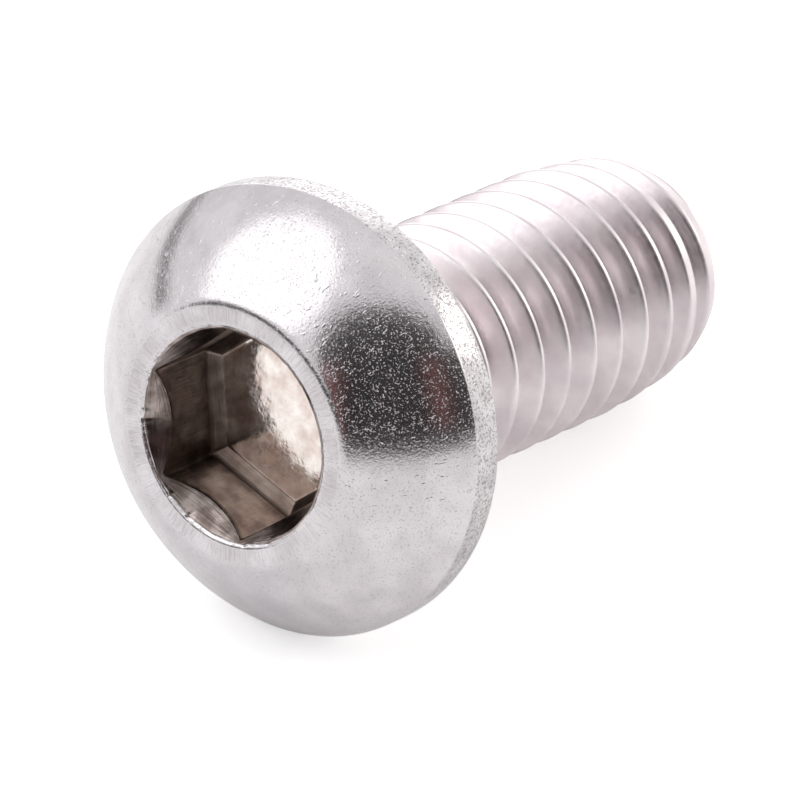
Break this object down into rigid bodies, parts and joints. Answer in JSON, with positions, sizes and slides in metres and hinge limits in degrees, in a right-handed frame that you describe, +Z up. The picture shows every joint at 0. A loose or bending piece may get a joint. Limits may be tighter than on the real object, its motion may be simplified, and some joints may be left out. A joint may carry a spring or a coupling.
{
  "type": "button head screw",
  "caption": "M6 x 12 mm stainless steel button head socket screw, threaded to the head, lying on its side as it comes to rest",
  "frame": {"origin": "middle of the bounding box in X and Y, on the surface it lies on in Z", "axes": "+X runs along the shank towards the tip, which points slightly down, +Y is sideways across it, +Z is up"},
  "size_m": [0.016, 0.0104, 0.0104],
  "materials": {
    "stainless_steel": "satin"
  },
  "bodies": {
    "root": {"button_head_screw": "stainless_steel"}
  },
  "joints": []
}
